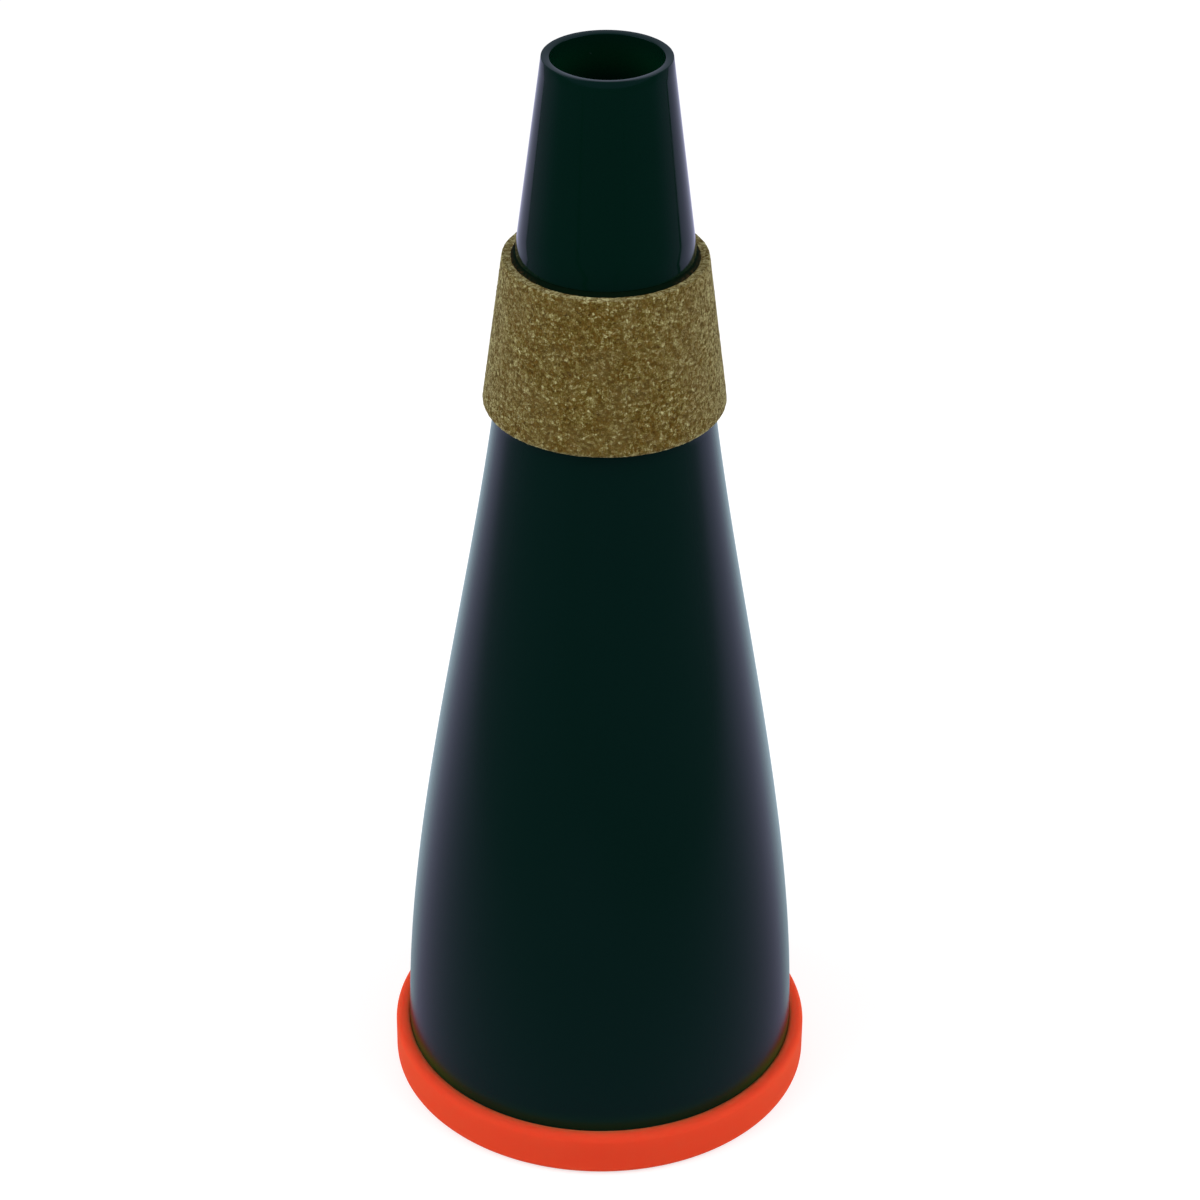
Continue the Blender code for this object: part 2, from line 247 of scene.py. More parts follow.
class Nodes:
    """A node tree, to which one method adds any node."""

    def __init__(self, tree, shader):
        self.tree = tree
        self.shader = tree.nodes[shader]

    def node(self, kind, settings=None, sockets=None, output=0):
        """Add a node: its settings first, then the values or links of its sockets."""
        made = self.tree.nodes.new(kind)
        for name, value in (settings or {}).items():
            if name == "stops":
                self.set_stops(made.color_ramp, value)
            else:
                setattr(made, name, value)
        for key, value in (sockets or {}).items():
            self.feed(made.inputs[key], value)
        return Value(self, made.outputs[output])

    def set_stops(self, ramp, stops):
        while len(ramp.elements) < len(stops):
            ramp.elements.new(1.0)
        for element, (position, colour) in zip(ramp.elements, stops):
            element.position = position
            element.color = (*colour, 1.0)

    def feed(self, socket, value):
        if isinstance(value, Value):
            self.tree.links.new(value.socket, socket)
        elif socket.type == "RGBA" and len(value) == 3:
            socket.default_value = (*value, 1.0)
        else:
            socket.default_value = value

    def set(self, **sockets):
        """Feed the shader's sockets; an underscore in a name stands for a space."""
        for name, value in sockets.items():
            self.feed(self.shader.inputs[name.replace("_", " ")], value)

    def maths(self, operation, *values):
        return self.node("ShaderNodeMath", {"operation": operation}, dict(enumerate(values)))

    def place(self, stretch=(1, 1, 1), turn=(0, 0, 0)):
        """Where a point lies on the piece, in millimetres."""
        where = self.node("ShaderNodeTexCoord", output="Object")
        return self.node("ShaderNodeMapping", None, {
            "Vector": where, "Rotation": turn, "Scale": [s / MM for s in stretch]})

    def axis(self, where, name):
        """How far a point lies along X, Y or Z."""
        return self.node("ShaderNodeSeparateXYZ", None, {"Vector": where}, name)

    def distance(self, where, centre=(0, 0, 0)):
        """How far a point lies from a centre."""
        return self.node(
            "ShaderNodeVectorMath", {"operation": "DISTANCE"}, {0: where, 1: centre}, "Value")

    def shifted(self, where, way):
        return self.node("ShaderNodeVectorMath", {"operation": "ADD"}, {0: where, 1: way})

    def scaled(self, vector, amount):
        return self.node(
            "ShaderNodeVectorMath", {"operation": "SCALE"}, {0: vector, "Scale": amount})

    def noise(self, where, scale, detail=2.0, roughness=0.5, output=0):
        return self.node("ShaderNodeTexNoise", None, {
            "Vector": where, "Scale": scale, "Detail": detail, "Roughness": roughness}, output)

    def cells(self, where, scale, feature="F1", output=0):
        return self.node(
            "ShaderNodeTexVoronoi", {"feature": feature}, {"Vector": where, "Scale": scale}, output)

    def lot(self, where, scale, channel=0):
        """A random value for each cell, one of three."""
        colour = self.cells(where, scale, output="Color")
        return self.node("ShaderNodeSeparateColor", None, {"Color": colour}, channel)

    def fade(self, value, low, high, to_low=0.0, to_high=1.0):
        """A value taken smoothly from one range to another."""
        return self.node("ShaderNodeMapRange", {"interpolation_type": "SMOOTHSTEP"}, {
            "Value": value, "From Min": low, "From Max": high, "To Min": to_low, "To Max": to_high})

    def ramp(self, value, stops):
        return self.node("ShaderNodeValToRGB", {"stops": stops}, {"Fac": value})

    def blend(self, amount, first, second):
        """Two colours mixed."""
        return self.node(
            "ShaderNodeMix", {"data_type": "RGBA"}, {0: amount, 6: first, 7: second}, 2)

    def rays(self):
        """1 for a ray from the camera, in a gloss, or through something clear."""
        path = self.node("ShaderNodeLightPath").socket.node.outputs
        names = ("Is Camera Ray", "Is Glossy Ray", "Is Transmission Ray")
        return [Value(self, path[name]) for name in names]

    def raised(self, height, depth, strength=1.0):
        """The surface's direction where it is raised by a height from 0 to 1 times a depth."""
        return self.node(
            "ShaderNodeBump", None, {"Height": height, "Distance": depth, "Strength": strength})

    def bump(self, height, depth, strength=1.0):
        self.set(Normal=self.raised(height, depth, strength))


class Finish(Nodes):
    """A material for a piece."""

    def __init__(self, name):
        self.material = bpy.data.materials.new(name)
        self.material.use_nodes = True
        super().__init__(self.material.node_tree, "Principled BSDF")

    def mix(self, amount, first, second):
        """Mix two shaders, each given by its sockets."""
        for name, value in first.items():
            self.feed(self.shader.inputs[name], value)
        other = self.node("ShaderNodeBsdfPrincipled", None, second)
        mixed = self.node("ShaderNodeMixShader", None, {
            0: amount, 1: Value(self, self.shader.outputs[0]), 2: other})
        self.feed(self.tree.nodes["Material Output"].inputs["Surface"], mixed)


def dust(finish, where, spacing, size):
    """A mask of sparse specks and short fibres, spacing and size in millimetres."""
    bent = finish.shifted(where, finish.noise(where, 1.6, output="Color"))
    speck = finish.fade(finish.cells(bent, 1 / spacing), size / spacing, 0.4 * size / spacing)
    return speck * (finish.lot(bent, 1 / spacing) > 0.72)


def gloss_black():
    """Polished black neck with handling marks, a bore painted lighter and greener deeper down to
    offset the shade inside it, and a little flared at its foot.
    """
    finish = Finish("gloss_black")
    where = finish.place()
    smudge = finish.fade(finish.noise(where, 0.11, 4.0, 0.6), 0.48, 0.72)
    polish = finish.noise(finish.place((1, 1, 0.02)), 9.0, 3.0)
    speck = dust(finish, where, 9.0, 0.16)
    height = finish.axis(where, "Z")
    inner, tip, cork = (TIP_RADIUS - TIP_WALL) / MM, TIP_HEIGHT / MM, CORK_TOP / MM
    inside = finish.fade(finish.distance(finish.place((1, 1, 0))), inner + 0.63, inner + 0.03)
    # painted light: the bore's colour grows lighter and greener with depth, to offset the shade deep
    # inside it
    bore = inside * finish.fade(height, tip, tip - 10.5)
    foot = finish.fade(height, cork + 2.4, cork - 0.8)
    colour = finish.blend(bore, (0.0004, 0.0096, 0.0054), (0.0004, 0.0420, 0.0120))
    finish.set(
        Base_Color=finish.blend(speck * 0.5, colour, (0.05, 0.06, 0.06)),
        Roughness=0.07 + smudge * 0.05 + polish * 0.03 + speck * 0.3,
        Specular_IOR_Level=0.105, Specular_Tint=(0.55, 0.65, 1.0))
    finish.bump(foot + polish * 0.007, 0.12 * MM)
    return finish.material


def satin_black():
    """Satin moulded body: a fine spark texture, soft mottling, a little dust, and an olive band
    above the ring that is a painted reflection of the ring, stronger at the sides.
    """
    finish = Finish("satin_black")
    where = finish.place()
    mottle = finish.noise(where, 0.06, 3.0)
    grain = finish.noise(where, 7.0, 2.0)
    speck = dust(finish, where, 11.0, 0.2)
    across = finish.axis(where, "X")
    lip = LIP_HEIGHT / MM
    # painted reflection: an olive band just above the ring, greener at the sides, stands in for the
    # ring mirrored in the plastic
    painted_ring_reflection = finish.fade(finish.axis(where, "Z"), lip + 3.4, lip + 0.6)
    side = finish.fade(across * across, 300.0, 960.0)
    painted_reflection_tint = finish.blend(side, (0.0005, 0.0150, 0.0060), (0.0090, 0.0480, 0.0070))
    colour = finish.blend(painted_ring_reflection, (0.0004, 0.0098, 0.0062), painted_reflection_tint)
    finish.set(
        Base_Color=finish.blend(speck * 0.6, colour, (0.07, 0.08, 0.08)),
        Roughness=0.20 + mottle * 0.06 + grain * 0.04,
        Specular_IOR_Level=0.12, Specular_Tint=(0.6, 0.65, 1.0))
    finish.bump(grain, 0.004 * MM, 0.5)
    return finish.material


def granulated_cork():
    """Pressed cork: granules of two sizes in many tones, rusty binder, pores and a scarfed seam,
    with its top painted lighter where light falls from above.
    """
    finish = Finish("granulated_cork")
    where = finish.place()
    across, along, height = (finish.axis(where, name) for name in "XYZ")
    grain = finish.noise(where, 4.5, 3.0, 0.7)

    wander = finish.scaled(finish.noise(where, 2.0, 3.0, 0.6, output="Color"), 0.5)
    coarse, coarse_scale = finish.shifted(finish.place((1, 1, 1.5)), wander), 1.5
    fine, fine_scale = finish.shifted(finish.place((1, 1, 0.8)), wander), 2.9
    # painted light: the top face and its rounded edge are made lighter, as light from above falls on
    # them
    cut = finish.fade(height, CORK_TOP / MM - 0.4, CORK_TOP / MM - 0.1)
    granules = finish.lot(coarse, coarse_scale) * 0.40 + finish.lot(fine, fine_scale) * 0.50
    shade = granules + grain * 1.5 + cut * 0.12 - 0.70
    colour = finish.ramp(shade, [
        (0.05, (0.043, 0.024, 0.002)), (0.30, (0.088, 0.058, 0.007)), (0.52, (0.136, 0.101, 0.021)),
        (0.78, (0.246, 0.213, 0.074)), (1.00, (0.520, 0.500, 0.260))])

    reddish = finish.lot(fine, fine_scale, 1) + finish.noise(where, 0.9, 2.0) * 0.8
    colour = finish.blend(finish.fade(reddish, 0.95, 1.25) * 0.45, colour, (0.135, 0.066, 0.006))
    coarse_line = finish.fade(finish.cells(coarse, coarse_scale, "DISTANCE_TO_EDGE"), 0.12, 0.0)
    fine_line = finish.fade(finish.cells(fine, fine_scale, "DISTANCE_TO_EDGE"), 0.12, 0.0)
    line = coarse_line * 0.5 + fine_line * 0.35
    colour = finish.blend(line, colour, (0.075, 0.032, 0.003))
    patch = finish.fade(finish.noise(where, 0.22, 2.0), 0.38, 0.62)
    colour = finish.blend(patch * 0.2, colour, (0.140, 0.105, 0.042))

    pore = finish.fade(finish.noise(where, 2.1, 3.0, 0.6), 0.35, 0.29)
    lean = across + (height - CORK_SEAM_HEIGHT / MM) * 0.35 + (grain - 0.5) * 0.5
    seam = finish.fade(lean * lean, 0.03, 0.0) * (along > 0)
    dark = pore * 0.7 + seam * 0.7
    cork = {
        "Base Color": finish.blend(dark, colour, (0.035, 0.018, 0.006)),
        "Roughness": 0.8 + grain * 0.2, "Specular IOR Level": 0.08,
        "Sheen Roughness": 0.3, "Sheen Tint": (1.0, 0.98, 0.56),
        "Normal": finish.raised(shade * 0.7 - line * 0.4 - dark, 0.12 * MM, 0.9)}
    glint = finish.fade(shade + finish.noise(where, 8.0, 2.0) * 0.9, 0.70, 1.25)
    finish.mix(glint, {**cork, "Sheen Weight": 0.1}, {**cork, "Sheen Weight": 1.0})
    return finish.material


def red_silicone():
    """Soft moulded red, barely matt, with the faintest mottling, painted lighter at its lip to
    offset the shade that the body casts there.
    """
    finish = Finish("red_silicone")
    where = finish.place()
    cloud = finish.noise(where, 0.16, 3.0)
    grain = finish.noise(where, 9.0, 2.0)
    body = BODY_RADIUS / MM
    # painted light: the lip beside the body is made lighter, to offset the shade the body casts on
    # it
    lip = finish.fade(finish.distance(finish.place((1, 1, 0))), body + 1.7, body + 0.3)
    red = finish.blend(cloud, (0.700, 0.059, 0.0205), (0.715, 0.062, 0.0225))
    finish.set(
        Base_Color=finish.blend(lip, red, (1.0, 0.095, 0.036)),
        Roughness=0.6 + cloud * 0.1 + grain * 0.05, Specular_IOR_Level=0.04,
        Subsurface_Weight=1.0, Subsurface_Radius=(1.0, 0.4, 0.3), Subsurface_Scale=5 * MM)
    finish.bump(grain, 0.006 * MM, 0.4)
    return finish.material


def plate_black():
    """Moulded plate: fine texture, with three polished ejector marks under it."""
    finish = Finish("plate_black")
    grain = finish.noise(finish.place(), 5.0, 3.0)
    flat = finish.place((1, 1, 0))
    marks = 0.0
    for turn in EJECTOR_TURNS:
        centre = (EJECTOR_CIRCLE * math.cos(turn), EJECTOR_CIRCLE * math.sin(turn), 0.0)
        marks = marks + finish.fade(finish.distance(flat, centre), 2.15, 2.0)
    finish.set(
        Base_Color=finish.blend(grain, (0.007, 0.008, 0.008), (0.012, 0.013, 0.013)),
        Roughness=0.48 + grain * 0.1 - marks * 0.2)
    finish.bump(grain * 0.06 - marks, 0.08 * MM, 0.7)
    return finish.material


def baffle_black():
    """Moulded baffle, unpolished, with flow lines outwards from its hub."""
    finish = Finish("baffle_black")
    grain = finish.noise(finish.place(), 4.0, 3.0)
    flow = finish.noise(finish.place((0.25, 0.25, 1)), 1.0, 2.0)
    finish.set(
        Base_Color=finish.blend(flow, (0.009, 0.010, 0.010), (0.016, 0.017, 0.017)),
        Roughness=0.4 + grain * 0.12)
    finish.bump(grain, 0.01 * MM, 0.5)
    return finish.material


def rubber(name, talc):
    """Black rubber with a bloom of talc left on it."""
    finish = Finish(name)
    where = finish.place()
    bloom = finish.fade(finish.noise(where, 0.9, 4.0, 0.65), 0.45, 0.75)
    grain = finish.noise(where, 6.0, 2.0)
    finish.set(
        Base_Color=finish.blend(bloom * talc, (0.010, 0.010, 0.010), (0.085, 0.085, 0.08)),
        Roughness=0.6 + bloom * 0.2 + grain * 0.06)
    finish.bump(grain, 0.012 * MM, 0.5)
    return finish.material


def drawn_aluminium():
    """Drawn tube: fine lines along its length and a dull oxide."""
    finish = Finish("drawn_aluminium")
    lines = finish.noise(finish.place((1, 1, 0.03)), 14.0, 3.0)
    oxide = finish.noise(finish.place(), 0.35, 4.0, 0.6)
    finish.set(
        Base_Color=finish.blend(oxide, (0.62, 0.63, 0.64), (0.46, 0.47, 0.48)),
        Roughness=0.24 + oxide * 0.16 + lines * 0.1, Metallic=1.0)
    finish.bump(lines, 0.004 * MM, 0.6)
    return finish.material


def open_foam():
    """Grey open-cell foam."""
    finish = Finish("open_foam")
    where = finish.place()
    pit = finish.fade(finish.cells(where, 3.0), 0.55, 0.15)
    wall = finish.noise(where, 2.0, 3.0)
    grey = finish.ramp(wall, [(0.3, (0.075, 0.075, 0.078)), (0.7, (0.12, 0.12, 0.125))])
    finish.set(
        Base_Color=finish.blend(pit, grey, (0.02, 0.02, 0.02)),
        Roughness=0.9 + wall * 0.1, Specular_IOR_Level=0.2)
    finish.bump(1 - pit, 0.2 * MM, 0.8)
    return finish.material


def felt(name, dark, light):
    """Pressed wool felt: crossing fibres with paler strands among them."""
    finish = Finish(name)
    strands = []
    for turn, stretch in ((0.3, (1, 7, 5)), (1.4, (6, 1, 7)), (2.5, (7, 5, 1))):
        along = finish.place([1 / s for s in stretch], (turn, 0.6 * turn, 1.3 * turn))
        strands.append(finish.noise(along, 7.0, 3.0, 0.6))
    fibre = (strands[0] + strands[1] + strands[2]) * 0.333
    tuft = finish.noise(finish.place(), 0.6, 3.0, 0.6)
    pale = finish.fade(strands[0], 0.66, 0.74) * 0.5 + finish.fade(strands[1], 0.66, 0.74) * 0.4
    body = finish.blend(finish.fade(fibre, 0.35, 0.65), dark, light)
    finish.set(
        Base_Color=finish.blend(pale, body, [min(1.0, 2.2 * c) for c in light]),
        Roughness=0.9 + tuft * 0.1, Sheen_Weight=0.25, Sheen_Roughness=0.5, Specular_IOR_Level=0.1)
    finish.bump(fibre * 0.7 + tuft * 0.3, 0.25 * MM, 0.8)
    return finish.material


def contact_glue():
    """Black contact glue squeezed out above the cork, with cork dust in its outer edge."""
    finish = Finish("contact_glue")
    where = finish.place()
    across = finish.axis(where, "X")
    outer = finish.fade(finish.distance(finish.place((1, 1, 0))), 13.40, 13.85)
    crumb = finish.fade(finish.noise(where, 2.4, 3.0, 0.6), 0.42, 0.62) * outer
    crumb = crumb * finish.fade(across * across, 80.0, 150.0)
    finish.set(
        Base_Color=finish.blend(crumb, (0.0008, 0.0052, 0.0018), (0.040, 0.024, 0.011)),
        Roughness=0.75 + crumb * 0.2, Specular_IOR_Level=0.02)
    finish.bump(crumb, 0.05 * MM, 0.7)
    return finish.material


# Shaping

def deselect():
    for other in bpy.context.selected_objects:
        other.select_set(False)


def turned(name, outline, sides):
    """A ring drawn at the outline's first point, then extruded and scaled from point to point."""
    deselect()
    radius, height = outline[0]
    bpy.ops.mesh.primitive_circle_add(vertices=sides, radius=radius, location=(0, 0, height))
    piece = bpy.context.object
    piece.name = piece.data.name = name
    bpy.ops.object.transform_apply(location=True, rotation=True, scale=True)
    bpy.ops.object.mode_set(mode="EDIT")
    bpy.ops.mesh.select_all(action="SELECT")
    for next_radius, next_height in outline[1:] + outline[:1]:
        bpy.ops.mesh.extrude_region_move(
            TRANSFORM_OT_translate={"value": (0, 0, next_height - height)})
        scale = next_radius / radius
        bpy.ops.transform.resize(value=(scale, scale, 1), center_override=(0, 0, next_height))
        radius, height = next_radius, next_height
    bpy.ops.mesh.select_all(action="SELECT")
    bpy.ops.mesh.remove_doubles(threshold=WELD)
    bpy.ops.mesh.normals_make_consistent(inside=False)
    bpy.ops.object.mode_set(mode="OBJECT")
    return piece


def apply(piece, modifier):
    bpy.context.view_layer.objects.active = piece
    bpy.ops.object.modifier_apply(modifier=modifier.name)


def eased(piece, width, steps=3):
    """Round every sharp edge by a width."""
    bevel = piece.modifiers.new("eased_edges", "BEVEL")
    bevel.width = width
    bevel.segments = steps
    bevel.limit_method = "ANGLE"
    bevel.angle_limit = SHARP
    apply(piece, bevel)
    return piece


def roughened(piece, size, depth):
    """Push the surface in and out by a cloud pattern of a size and a depth."""
    texture = bpy.data.textures.new(piece.name + "_clouds", "CLOUDS")
    texture.noise_scale = size
    lumps = piece.modifiers.new("lumps", "DISPLACE")
    lumps.texture = texture
    lumps.texture_coords = "LOCAL"
    lumps.mid_level = 0.5
    lumps.strength = depth
    apply(piece, lumps)
    return piece


def finished(piece, node, material, smooth_deg=35):
    """Shade and coat a piece, and let it stand for a CAD node if one is given."""
    deselect()
    piece.select_set(True)
    bpy.context.view_layer.objects.active = piece
    bpy.ops.object.shade_smooth_by_angle(angle=math.radians(smooth_deg))
    piece.data.materials.clear()
    piece.data.materials.append(material)
    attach(piece, "root")
    if node:
        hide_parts(node)


# Pieces

def neck_cone():
    """Straight conical neck, a dished mouth, and a stepped spigot for the body's socket."""
    spigot = outer_radius(JOINT_HEIGHT) - SHOULDER_WIDTH
    spigot_foot = reach("neck_tube")[1]
    outline = [(TIP_RADIUS, TIP_HEIGHT)]
    outline += [(outer_radius(z), z) for z in spaced(TIP_HEIGHT - 2 * MM, JOINT_HEIGHT, 8)]
    outline += [
        (spigot, JOINT_HEIGHT), (spigot, spigot_foot), (spigot - SPIGOT_WALL, spigot_foot),
        (spigot - SPIGOT_WALL, JOINT_HEIGHT), (TIP_RADIUS - TIP_WALL, TIP_HEIGHT - MOUTH_DISH)]
    cone = eased(turned("neck_cone", outline, WIDE_SIDES), 0.11 * MM)
    finished(cone, "neck_tube", gloss_black())


def flared_body():
    """Flared shell: cork seat and neck socket above, baffle ledge within, open for the plate."""
    collar_top = reach("body_shell")[2]
    collar_edge = collar_top - COLLAR_CHAMFER
    socket = outer_radius(JOINT_HEIGHT) - SHOULDER_WIDTH + GAP
    ledge = chamber_radius(LEDGE_HEIGHT) - LEDGE_WIDTH
    bore = BODY_RADIUS - BODY_WALL
    rebate = bore + PLATE_FLANGE
    outline = [
        (outer_radius(collar_top), collar_top),
        (outer_radius(collar_edge) + CORK_LAND, collar_edge)]
    outline += [(outer_radius(z) + CORK_LAND, z) for z in spaced(CORK_TOP, CORK_FOOT, 6)]
    outline += [(outer_radius(z), z) for z in spaced(CORK_FOOT - CORK_LAND, LIP_HEIGHT, 60)]
    outline += [
        (BODY_RADIUS, BODY_FOOT), (rebate, BODY_FOOT), (rebate, PLATE_TOP + GAP),
        (bore, PLATE_TOP + GAP)]
    outline += [(chamber_radius(z), z) for z in spaced(SKIRT_TOP + GAP, LEDGE_HEIGHT, 24)]
    outline.append((ledge, LEDGE_HEIGHT))
    upper = [(outer_radius(z) - BODY_WALL, z) for z in spaced(LEDGE_HEIGHT, SOCKET_FOOT, 40)]
    outline += [(radius, z) for radius, z in upper if radius < ledge]
    outline += [(socket, SOCKET_FOOT), (socket, collar_top)]
    body = eased(turned("flared_body", outline, WIDE_SIDES), 0.12 * MM, 2)
    finished(body, "body_shell", satin_black())


def cork_sleeve():
    """Conical cork sleeve with a rounded foot and a crisp top, roughened by its granules."""
    seat_foot = outer_radius(CORK_FOOT) + CORK_LAND + GAP
    seat_top = outer_radius(CORK_TOP) + CORK_LAND + GAP
    foot_centre = (seat_foot + CORK_FOOT_WALL - CORK_FOOT_ROUND, CORK_FOOT + CORK_FOOT_ROUND)
    top_centre = (seat_top + CORK_TOP_WALL - CORK_TOP_ROUND, CORK_TOP - CORK_TOP_ROUND)
    lean_deg = math.degrees(
        math.atan2(foot_centre[0] - top_centre[0], top_centre[1] - foot_centre[1]))
    top_arc = arc(top_centre, CORK_TOP_ROUND, 90, lean_deg, 4)
    foot_arc = arc(foot_centre, CORK_FOOT_ROUND, lean_deg, -90, 7)
    (high_radius, high), (low_radius, low) = top_arc[-1], foot_arc[0]
    face = [(high_radius + (low_radius - high_radius) * (high - z) / (high - low), z)
            for z in rows(high, low, CORK_STEP)]
    outline = [(r, CORK_TOP) for r in rows(seat_top, top_arc[0][0], CORK_STEP)][:-1]
    outline += top_arc[:-1] + face[:-1] + foot_arc + [(seat_foot, CORK_FOOT)]
    sleeve = roughened(turned("cork_sleeve", outline, CORK_SIDES), 0.45 * MM, 0.16 * MM)
    finished(sleeve, "cork_collar", granulated_cork(), 80)


def glue_bead():
    """Thin matt bead of glue that closes the joint over the cork, ragged at its edge."""
    collar = outer_radius(CORK_TOP) + CORK_LAND
    neck = outer_radius(JOINT_HEIGHT)
    outline = [
        (neck - 0.05 * MM, JOINT_HEIGHT + 0.02 * MM), (neck + 0.08 * MM, JOINT_HEIGHT - 0.10 * MM),
        (collar + 0.12 * MM, CORK_TOP + 0.22 * MM), (collar + 0.30 * MM, CORK_TOP + 0.10 * MM),
        (collar + 0.34 * MM, CORK_TOP - 0.15 * MM), (collar - 0.15 * MM, CORK_TOP - 0.15 * MM),
        (neck - 0.30 * MM, JOINT_HEIGHT - 0.10 * MM)]
    bead = eased(turned("glue_bead", outline, CORK_SIDES), 0.05 * MM, 2)
    finished(roughened(bead, 0.5 * MM, 0.16 * MM), None, contact_glue(), 80)


def foot_ring():
    """Soft ring stretched round the body's foot, with a floor that turns in under the plate."""
    outside, _, lip_top = reach("base_bumper")
    seat = outside - RING_WALL
    bore = seat - RING_FLOOR_WIDTH
    lip, foot, turn_in = RING_LIP_ROUND, RING_FOOT_ROUND, RING_BORE_ROUND
    outline = [(seat - 0.25 * MM, lip_top - 0.25 * MM), (seat + 0.1 * MM, lip_top)]
    outline += arc((outside - lip, lip_top - lip), lip, 90, 0, 9)
    outline += arc((outside - foot, foot), foot, 0, -90, 9)
    outline += arc((bore + turn_in, turn_in), turn_in, -90, -180, 7)
    outline += [(bore, RING_FLOOR), (seat, RING_FLOOR), (seat, lip_top - 0.6 * MM)]
    finished(turned("foot_ring", outline, WIDE_SIDES), "base_bumper", red_silicone(), 50)


def closing_plate():
    """Closing plate: a flange in the body's rebate and a skirt with a seal groove."""
    flange = reach("base_plate")[0]
    skirt = BODY_RADIUS - BODY_WALL - GAP
    groove = skirt - SEAL_THICKNESS - GAP
    half = SEAL_THICKNESS / 2 + GAP
    middle = (PLATE_TOP + SKIRT_TOP) / 2
    hole = TUBE_RADIUS + GAP + GROMMET_NECK_WALL + GAP
    inside = groove - PLATE_SKIRT_WALL
    outline = [
        (skirt, SKIRT_TOP), (skirt, middle + half), (groove, middle + half),
        (groove, middle - half), (skirt, middle - half), (skirt, PLATE_TOP), (flange, PLATE_TOP),
        (flange, BODY_FOOT), (hole, BODY_FOOT), (hole, PLATE_TOP), (inside, PLATE_TOP),
        (inside, SKIRT_TOP)]
    plate = eased(turned("closing_plate", outline, WIDE_SIDES), 0.18 * MM)
    finished(plate, "base_plate", plate_black())


def seal_ring():
    """Round rubber seal in the plate's groove."""
    outside, low, high = reach("base_seal")
    thick = (high - low) / 2
    outline = arc((outside - thick, low + thick), thick, 0, -330, 12)
    finished(turned("seal_ring", outline, WIDE_SIDES), "base_seal", rubber("seal_rubber", 0.3), 60)


def tube_grommet():
    """Rubber grommet in the plate's hole, gripping the vent tube."""
    flange, low, high = reach("vent_grommet")
    bore = TUBE_RADIUS + GAP
    neck = bore + GROMMET_NECK_WALL
    neck_low, neck_high = low + GROMMET_FLANGE_HEIGHT, high - GROMMET_FLANGE_HEIGHT
    outline = [
        (bore, high), (flange, high), (flange, neck_high), (neck, neck_high), (neck, neck_low),
        (flange, neck_low), (flange, low), (bore, low)]
    grommet = eased(turned("tube_grommet", outline, SLIM_SIDES), 0.4 * MM, 4)
    finished(grommet, "vent_grommet", rubber("grommet_rubber", 0.15))


def drawn_tube():
    """Narrow tube that lets the air out, with a collar that carries the baffle's hub."""
    collar, low, high = reach("vent_tube")
    collar_top = BAFFLE_UNDERSIDE - GAP
    collar_foot = collar_top - TUBE_COLLAR_HEIGHT
    outline = [
        (TUBE_RADIUS, high), (TUBE_RADIUS, collar_top), (collar, collar_top), (collar, collar_foot),
        (TUBE_RADIUS, collar_foot), (TUBE_RADIUS, low), (TUBE_BORE_RADIUS, low),
        (TUBE_BORE_RADIUS, high)]
    tube = eased(turned("drawn_tube", outline, SLIM_SIDES), 0.2 * MM)
    finished(tube, "vent_tube", drawn_aluminium())


def pierced_baffle():
    """Disc on a hub, with a skirt down the chamber's wall and a ring of round holes."""
    rim, skirt_foot, hub_top = reach("baffle_disc")
    bore = TUBE_RADIUS + GAP
    hub = bore + BAFFLE_HUB_WALL
    inside = rim - BAFFLE_SKIRT_WALL
    top = BAFFLE_UNDERSIDE + BAFFLE_THICKNESS
    outline = [
        (hub, top), (rim, top), (rim, skirt_foot), (inside, skirt_foot), (inside, BAFFLE_UNDERSIDE),
        (bore, BAFFLE_UNDERSIDE), (bore, hub_top), (hub, hub_top)]
    disc = turned("pierced_baffle", outline, WIDE_SIDES)
    circle = (hub + inside) / 2
    for i in range(BAFFLE_HOLES):
        angle = 2 * math.pi * i / BAFFLE_HOLES
        place = (circle * math.cos(angle), circle * math.sin(angle), top - BAFFLE_THICKNESS / 2)
        deselect()
        bpy.ops.mesh.primitive_cylinder_add(
            vertices=HOLE_SIDES, radius=BAFFLE_HOLE_RADIUS, depth=3 * BAFFLE_THICKNESS,
            location=place)
        drill = bpy.context.object
        cut = disc.modifiers.new("hole", "BOOLEAN")
        cut.operation = "DIFFERENCE"
        cut.solver = "EXACT"
        cut.object = drill
        apply(disc, cut)
        bpy.data.objects.remove(drill)
    finished(eased(disc, 0.2 * MM, 2), "baffle_disc", baffle_black())


def foam_gasket():
    """Foam ring squeezed between the baffle's rim and the ledge, bulging a little at its edges."""
    outside, low, high = reach("baffle_seal")
    inside = outside - LEDGE_WIDTH
    middle = (low + high) / 2
    outline = [(outside - FOAM_BULGE, high), (outside, middle), (outside - FOAM_BULGE, low)]
    outline += [(inside + FOAM_BULGE, low), (inside, middle), (inside + FOAM_BULGE, high)]
    gasket = eased(turned("foam_gasket", outline, FELT_SIDES), 0.2 * MM)
    finished(gasket, "baffle_seal", open_foam(), 60)


def felt_pad():
    """Felt disc lying in the base plate, open round the grommet, soft at its cut edges."""
    outside, low, high = reach("plate_felt")
    inside = reach("vent_grommet")[0] + GAP
    edge = FELT_EDGE_ROUND
    outline = arc((outside - edge, high - edge), edge, 90, 0, 4)
    outline += arc((outside - edge, low + edge), edge, 0, -90, 4)
    outline += [(r, low) for r in rows(outside - edge, inside + edge, FELT_STEP)[1:-1]]
    outline += arc((inside + edge, low + edge), edge, -90, -180, 4)
    outline += arc((inside + edge, high - edge), edge, 180, 90, 4)
    outline += [(r, high) for r in rows(inside + edge, outside - edge, FELT_STEP)[1:-1]]
    pad = roughened(turned("felt_pad", outline, FELT_SIDES), 1.1 * MM, 0.22 * MM)
    finished(pad, "plate_felt", felt("felt_grey", (0.07, 0.07, 0.072), (0.17, 0.17, 0.172)), 80)


